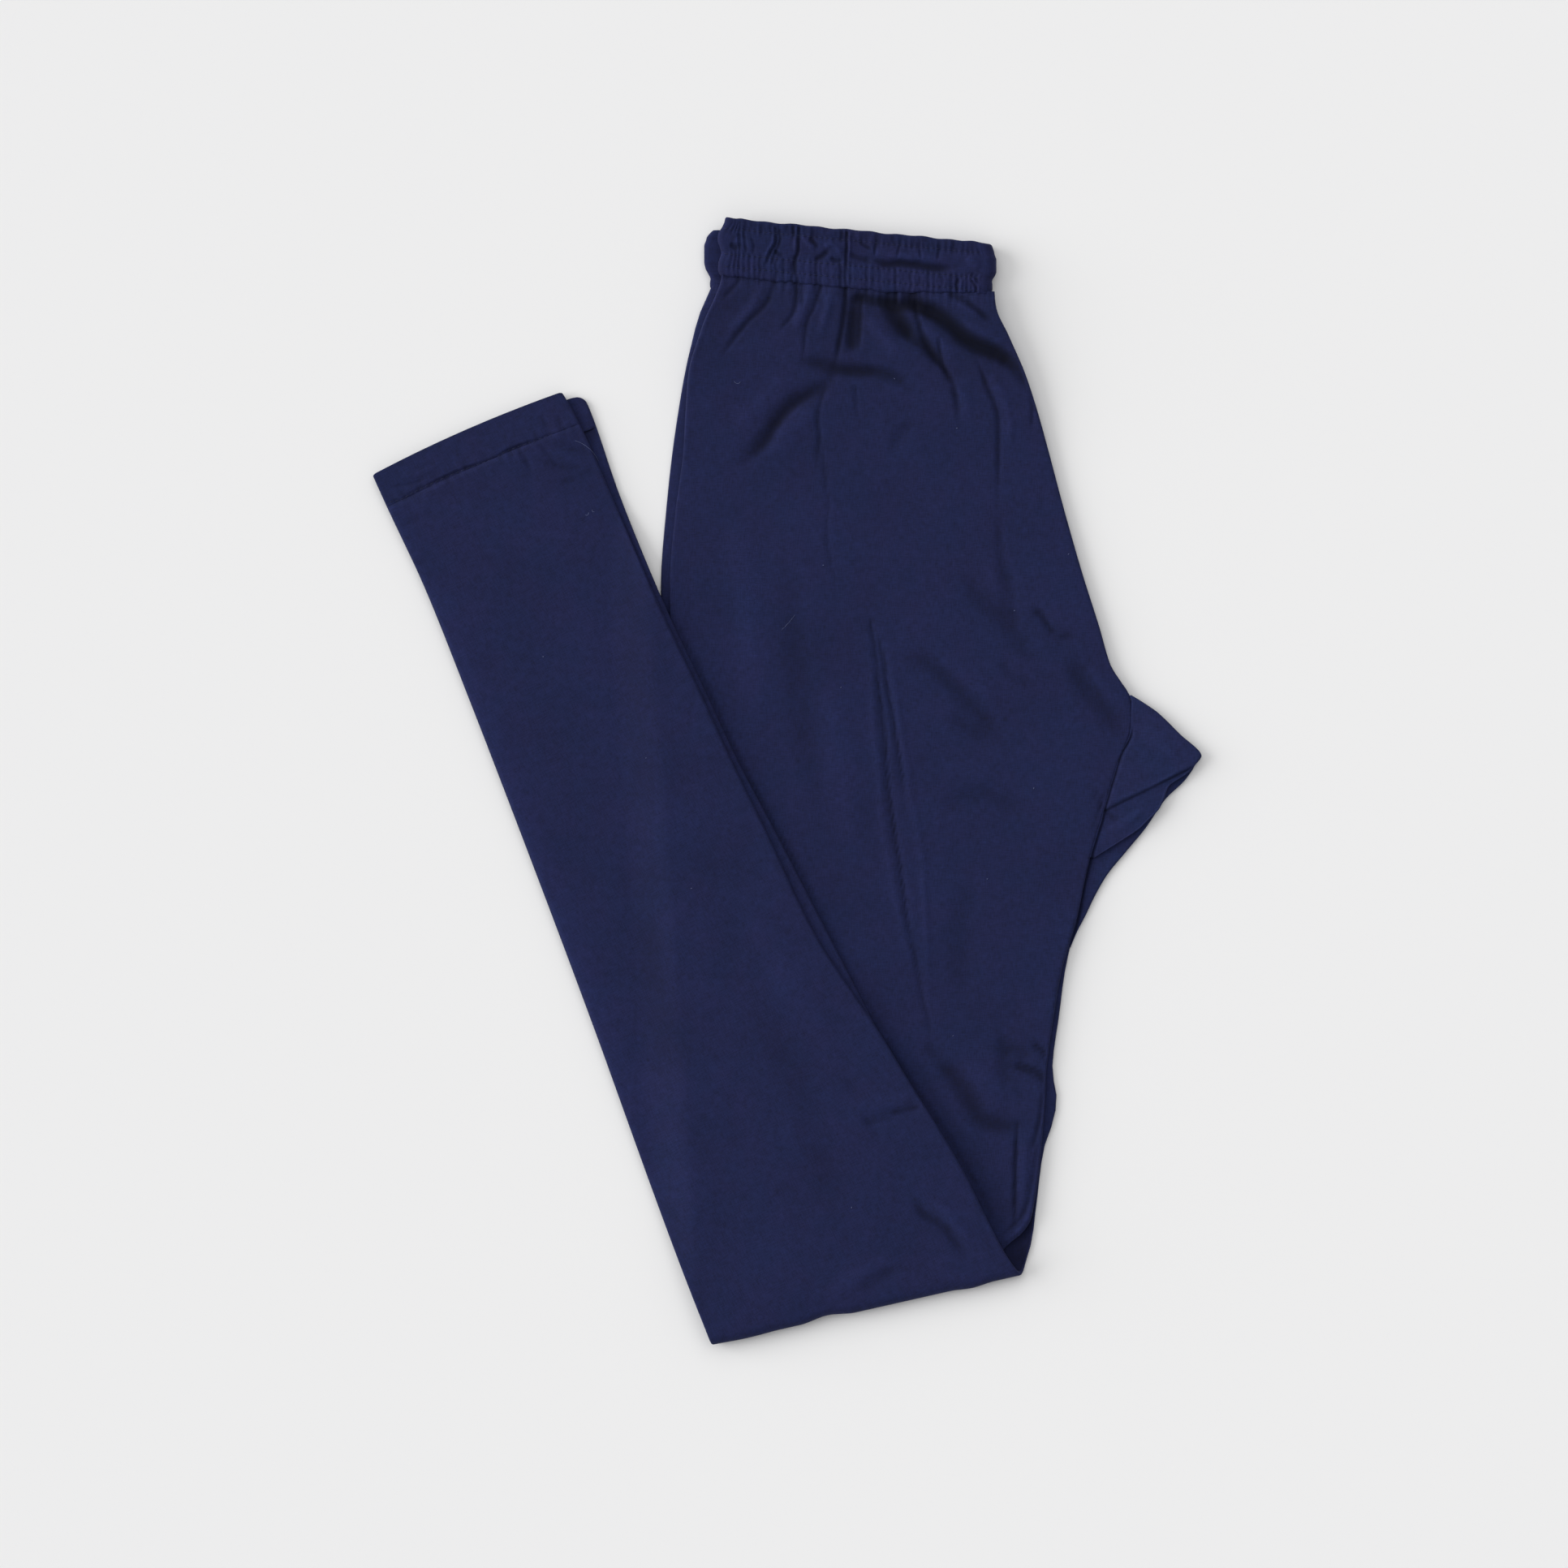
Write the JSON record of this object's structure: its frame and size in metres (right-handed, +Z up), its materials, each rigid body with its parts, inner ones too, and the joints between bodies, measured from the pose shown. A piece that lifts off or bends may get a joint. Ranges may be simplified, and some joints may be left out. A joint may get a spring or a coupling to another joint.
{
  "type": "folded churidar pants",
  "caption": "Plain churidar pants with a gathered elastic waistband, folded in half and turned up at the knee, lying flat.",
  "frame": {"origin": "on the surface that the folded garment lies on, below the middle of its outline", "axes": "+Y along the thighs towards the waistband, +X across them towards the crotch, +Z up"},
  "size_m": [0.4597, 0.6238, 0.0132],
  "materials": {
    "band_cloth": "matte cotton, gathered",
    "leg_cloth": "matte cotton, fine slub weave",
    "gusset_cloth": "matte cotton, fine slub weave",
    "hem_cloth": "matte cotton, stitched"
  },
  "bodies": {
    "root": {"waistband": "band_cloth", "over_leg": "leg_cloth", "under_leg": "leg_cloth", "gusset_over": "gusset_cloth", "gusset_under": "gusset_cloth", "over_hem": "hem_cloth", "under_hem": "hem_cloth"}
  },
  "joints": []
}
